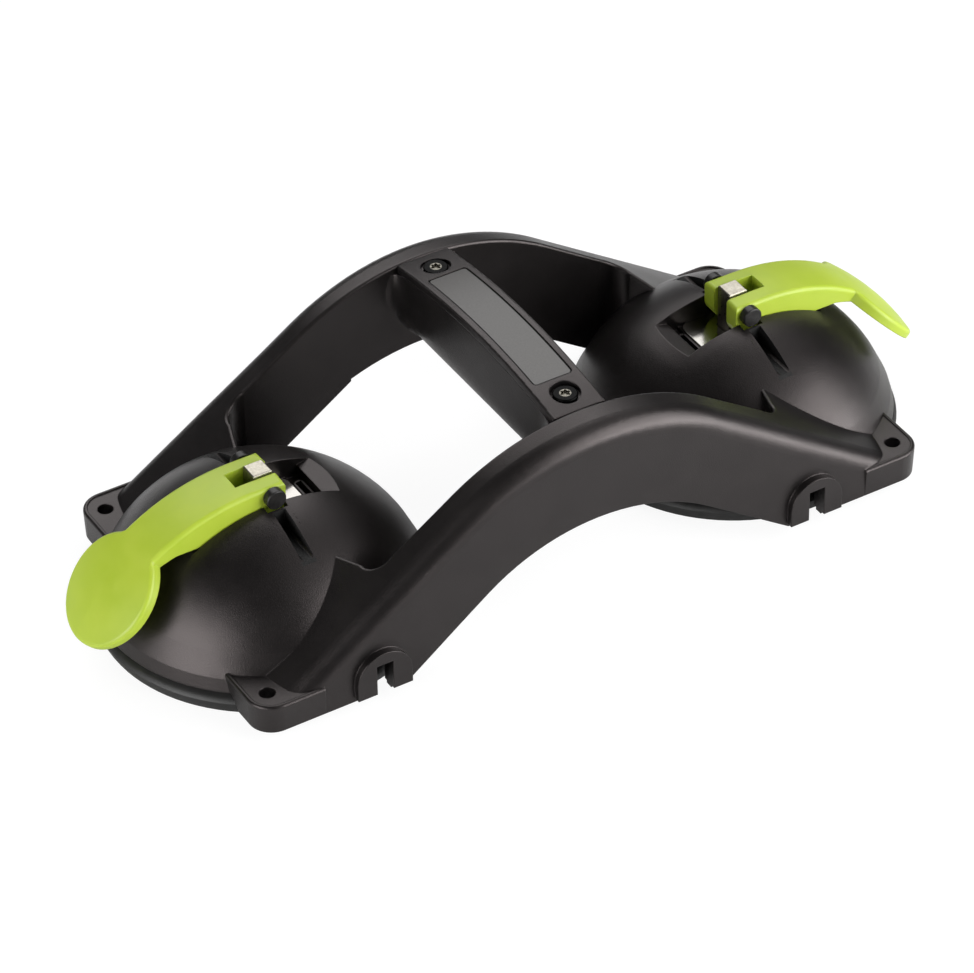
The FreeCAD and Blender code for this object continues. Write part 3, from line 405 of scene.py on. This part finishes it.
# %% Distance from mirrored points, and worn screws
def distance(material, corner, unit, inside=False):
    """Plan distance from a point and its mirror copies, counted in this unit.

    With inside, it is the distance from the whole rectangle between those points.
    """
    nodes, links = material.node_tree.nodes, material.node_tree.links
    flow = nodes.new("ShaderNodeTexCoord").outputs["Object"]
    steps = [("MULTIPLY", (1 / unit, 1 / unit, 0)), ("ABSOLUTE", (0, 0, 0)),
             ("SUBTRACT", (corner[0] / unit, corner[1] / unit, 0))]
    if inside:
        steps.append(("MAXIMUM", (0, 0, 0)))
    for operation, vector in steps:
        step = nodes.new("ShaderNodeVectorMath")
        step.operation = operation
        step.inputs[1].default_value = vector
        links.new(flow, step.inputs[0])
        flow = step.outputs["Vector"]
    length = nodes.new("ShaderNodeVectorMath")
    length.operation = "LENGTH"
    links.new(flow, length.inputs[0])
    return length.outputs["Value"]


SCREW_Y = 0.0443           # the screws stand this far from the handle's middle
SOCKET_RADIUS = 0.0023     # inside it the blacking is worn off
WORN_EDGE = (0.86, 1.0)    # where the wear fades out, in socket radii
screw, shader = finish("blackened_screw", (0.0015, 0.0015, 0.0015), 0.3, Specular_IOR_Level=0.04)
socket_reach = distance(screw, (0, SCREW_Y), SOCKET_RADIUS)
between(screw, socket_reach, 1.0, 0.0, shader.inputs["Metallic"], *WORN_EDGE)
between(screw, socket_reach, (0.18, 0.17, 0.145), (0.0015, 0.0015, 0.0015),
        shader.inputs["Base Color"], *WORN_EDGE)
between(screw, noise(screw, 0.0008, 4), 0.18, 0.34, shader.inputs["Roughness"])
relief(screw, shader, noise(screw, 0.0004, 3), 0.00002, edge=0.0002, strength=0.3)
dress(screw, "cover_screws")

# %% [markdown]
# ## Brass inserts and the bare label
#
# Two brass inserts take the screws inside the handle. The label is a thin sheet of film without
# any print: grey, without the nylon's grain, with a colour noise finer than a millimetre so that it
# does not look like flat paint. A thin dark border, found by the distance from a rectangle a
# corner's radius smaller, stands for the shadow of its seat.

# %% Brass and label film
brass, shader = finish("brass_insert", (0.62, 0.42, 0.16), 0.3, Metallic=1.0)
between(brass, noise(brass, 0.0008, 4), 0.22, 0.4, shader.inputs["Roughness"])
dress(brass, "cover_inserts")

LABEL_HALF = (0.0079, 0.0367)
LABEL_CORNER = 0.0015      # radius of its corners
BORDER = (0.74, 0.80)      # where the border starts, in corner radii; the label's edge is at 1
film, shader = finish("label_film", (0.07, 0.066, 0.063), 0.3)
edge_reach = distance(film, [half - LABEL_CORNER for half in LABEL_HALF], LABEL_CORNER, inside=True)
# painted shadow of the label's seat: a dark colour and a weaker reflection in a thin border
painted_seat_shadow = film.node_tree.nodes.new("ShaderNodeMix")
painted_seat_shadow.data_type = "RGBA"
share, plain, dark = painted_seat_shadow.inputs[0], painted_seat_shadow.inputs[6], painted_seat_shadow.inputs[7]     # its colour inputs
dark.default_value = (0.003, 0.003, 0.003, 1)
between(film, noise(film, 0.0006, 4), (0.062, 0.058, 0.055), (0.078, 0.074, 0.07), plain)
between(film, edge_reach, 0.0, 1.0, share, *BORDER)
between(film, edge_reach, 0.5, 0.05, shader.inputs["Specular IOR Level"], *BORDER)
film.node_tree.links.new(painted_seat_shadow.outputs[2], shader.inputs["Base Color"])
relief(film, shader, noise(film, 0.0003, 3), 0.00001, strength=0.3, edge=0.0003)
dress(film, "label_plate")

# %% [markdown]
# ## Rubber
#
# Rubber is about as dark as the nylon but duller: its roughness is higher, so highlights spread
# into a faint veil. The noise in its colour stands for the bloom that moulded rubber gets.

# %% Rubber
rubber, shader = finish("moulded_rubber", (0.014, 0.0138, 0.0135), 0.5)
between(rubber, noise(rubber, 0.004, 4), (0.011, 0.0108, 0.0105), (0.019, 0.0185, 0.018),
        shader.inputs["Base Color"])
relief(rubber, shader, noise(rubber, 0.0005, 3), 0.00004, strength=0.3)
print(rubber.name, "waits for the cups")

# %% [markdown]
# ## Suction cups
#
# A suction cup is round, so one outline spun once round its axis makes it. We start from a single
# vertex, extrude it point by point along the outline, and spin the line a full turn. A sculpted
# disc would need the same care in every direction, while here one list of radius and height, in
# millimetres, holds the whole shape. On the tool the lip stays on the ground and the middle rises
# with the post; here each cup is one mesh that stays where it is spun.

# %% One outline, spun
CUP_STEPS = 96             # steps in a full turn
CUP_SMOOTH = math.radians(35)                  # edges flatter than this are shaded smooth
WELD = 0.00001             # points closer than this become one
CUP_OUTLINE = [(0, 17.0), (7.4, 17.0), (7.4, 21.0), (40.0, 21.0), (41.4, 20.9), (42.6, 20.2),
               (44.5, 18.3), (47.5, 14.4), (50.6, 11.6), (53.6, 10.2), (56.2, 9.0), (58.6, 7.9),
               (60.6, 7.0), (61.7, 6.2), (62.2, 5.2), (62.0, 4.2), (61.4, 2.6), (60.8, 1.2),
               (60.3, 0.3), (59.6, 0.0), (58.0, 0.0), (57.2, 0.4), (56.4, 1.2), (54.4, 2.9),
               (50.0, 5.6), (46.0, 8.8), (43.2, 11.6), (41.0, 13.4), (38.0, 14.0), (10.0, 14.0),
               (8.6, 14.0), (7.6, 14.4), (0, 14.4)]


def spun_cup(name, centre):
    """Spins the outline round the upright axis at this x, in metres."""
    bpy.ops.object.select_all(action="DESELECT")
    bpy.ops.mesh.primitive_plane_add(size=0.001, location=(0, 0, 0))
    cup = bpy.context.object
    cup.name = name
    bpy.ops.object.mode_set(mode="EDIT")
    bpy.ops.mesh.select_all(action="SELECT")
    bpy.ops.mesh.merge(type="CENTER")
    first_r, first_z = CUP_OUTLINE[0]
    bpy.ops.transform.translate(value=(centre + first_r / 1000, 0, first_z / 1000))
    for (r0, z0), (r1, z1) in zip(CUP_OUTLINE, CUP_OUTLINE[1:]):
        bpy.ops.mesh.extrude_region_move(
            TRANSFORM_OT_translate={"value": ((r1 - r0) / 1000, 0, (z1 - z0) / 1000)})
    bpy.ops.mesh.select_all(action="SELECT")
    bpy.ops.mesh.spin(steps=CUP_STEPS, angle=2 * math.pi, center=(centre, 0, 0), axis=(0, 0, 1))
    bpy.ops.mesh.select_all(action="SELECT")
    bpy.ops.mesh.remove_doubles(threshold=WELD)
    bpy.ops.mesh.normals_make_consistent(inside=False)
    bpy.ops.object.mode_set(mode="OBJECT")
    bpy.ops.object.shade_smooth_by_angle(angle=CUP_SMOOTH)
    cup.data.materials.clear()
    cup.data.materials.append(rubber)
    print(name, len(cup.data.vertices), "vertices")
    return cup


# %% [markdown]
# Each cup is spun round the middle of the imported cup, which is then hidden.

for side in ("left", "right"):
    low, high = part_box(side + "_suction_cup")
    cup_x = (low.x + high.x) / 2
    cup = spun_cup(side + "_rubber_cup", cup_x)
    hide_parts(side + "_suction_cup")
    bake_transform(cup)

# %% [markdown]
# ## Liners of the pin channels
#
# Each dome has a channel on either side in which the pin's cap drops as the lever stands up. Past
# the cap the channel is only a narrow slot. Its walls come straight from the rough of the mould and
# are matt, and their darker black is painted shade for the deep slot. The imported frame has it at
# the cap's full width, so a liner narrows it here.
# It is a block cut to the dome's own curve with a Boolean against a stretched ball, which is truer
# than pushing vertices up to meet the dome, and then slotted with a second Boolean.

# %% Rougher black with painted shade for the slots, plain nylon for the rest
# painted shade: the slot walls get a darker base colour than the nylon; the higher roughness is
# their own
slot_shade_black, shader = finish("painted_shade_slot_nylon", (0.0022, 0.002, 0.002), 0.75)
between(slot_shade_black, noise(slot_shade_black, 0.0008, 3), 0.65, 0.85, shader.inputs["Roughness"])
relief(slot_shade_black, shader, noise(slot_shade_black, 0.0005, 2), 0.00003, strength=0.4)
plain_nylon = nylon.copy()
plain_nylon.name = "charcoal_nylon_plain"
for node in [n for n in plain_nylon.node_tree.nodes if n.type == "BEVEL"]:
    plain_nylon.node_tree.nodes.remove(node)
print(plain_nylon.name, "leaves out the Bevel node, which would outline the liners")

# %% [markdown]
# A block and a Boolean are two short tools of their own. The Manifold solver is the quickest one
# and asks only for closed meshes, which a cube and a ball are.

# %% A block between six planes, and a cut
def block(x0, x1, y0, y1, z0, z1):
    """A cube primitive set between six planes, its scale applied."""
    middle = ((x0 + x1) / 2, (y0 + y1) / 2, (z0 + z1) / 2)
    bpy.ops.object.select_all(action="DESELECT")
    bpy.ops.mesh.primitive_cube_add(size=1, location=middle, scale=(x1 - x0, y1 - y0, z1 - z0))
    bpy.ops.object.transform_apply(location=True, rotation=False, scale=True)
    return bpy.context.object


def cut(piece, tool, operation):
    """Applies a Boolean against a tool and throws the tool away."""
    bpy.context.view_layer.objects.active = piece
    step = piece.modifiers.new("cut", "BOOLEAN")
    step.operation = operation
    step.solver = "MANIFOLD"
    step.object = tool
    bpy.ops.object.modifier_apply(modifier=step.name)
    bpy.data.objects.remove(tool)


# %% [markdown]
# The block reaches half a millimetre into the frame on both sides, so no crack shows beside it. The
# ball has many segments: with fewer, the liner's top would show as flats against the dome.

# %% Four slotted liners
CHANNEL_HALF = 0.00405     # half width of the channel beside the cap
LINER_SINK = 0.0005        # how far a liner reaches into the channel's sides
LINER_START, LINER_END = 0.01405, 0.0362       # from the middle of the dome outwards
LINER_FOOT_Z, LINER_HEAD_Z = 0.0425, 0.0560
SLOT_HALF = 0.00255
SLOT_FLOOR_Z, SLOT_HEAD_Z = 0.0442, 0.060
SLOT_WEB = 0.0007          # wall left between the cap and the slot
SLOT_PAST = 0.002          # how far the cutter runs out of the liner's far end
DOME_HALF_AXES = (0.06232, 0.06232, 0.05742)
DOME_CENTRE_Z = -0.0033
BALL_SEGMENTS, BALL_RINGS = 160, 80
LINER_SMOOTH = math.radians(30)
WALL_SLACK, WEB_SLACK = 0.00001, 0.0001        # used when faces are sorted by their place


def channel_liner(name, cup_x, side):
    """Liner of one channel; side is -1 or 1 along Y."""
    reach = sorted((side * LINER_START, side * LINER_END))
    half = CHANNEL_HALF + LINER_SINK
    liner = block(cup_x - half, cup_x + half, *reach, LINER_FOOT_Z, LINER_HEAD_Z)
    liner.name = name
    bpy.ops.mesh.primitive_uv_sphere_add(segments=BALL_SEGMENTS, ring_count=BALL_RINGS, radius=1,
                                         location=(cup_x, 0, DOME_CENTRE_Z), scale=DOME_HALF_AXES)
    ball = bpy.context.object
    bpy.ops.object.transform_apply(location=True, rotation=False, scale=True)
    cut(liner, ball, "INTERSECT")
    slot = sorted((side * (LINER_START + SLOT_WEB), side * (LINER_END + SLOT_PAST)))
    cutter = block(cup_x - SLOT_HALF, cup_x + SLOT_HALF, *slot, SLOT_FLOOR_Z, SLOT_HEAD_Z)
    cut(liner, cutter, "DIFFERENCE")
    liner.data.materials.clear()
    liner.data.materials.append(plain_nylon)
    liner.data.materials.append(slot_shade_black)
    # the faces of the slot walls take the black with painted shade
    for face in liner.data.polygons:
        beside = abs(face.center.x - cup_x) < SLOT_HALF + WALL_SLACK
        beyond = abs(face.center.y) > LINER_START + SLOT_WEB - WEB_SLACK
        face.material_index = 1 if beside and beyond else 0
    bpy.ops.object.select_all(action="DESELECT")
    liner.select_set(True)
    bpy.context.view_layer.objects.active = liner
    bpy.ops.object.shade_smooth_by_angle(angle=LINER_SMOOTH)
    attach(liner, "root")
    print(name, len(liner.data.polygons), "faces")


for cup, cup_x in (("left", -0.100), ("right", 0.100)):
    for reach, side in (("near", -1), ("far", 1)):
        channel_liner(f"{cup}_{reach}_channel_liner", cup_x, side)
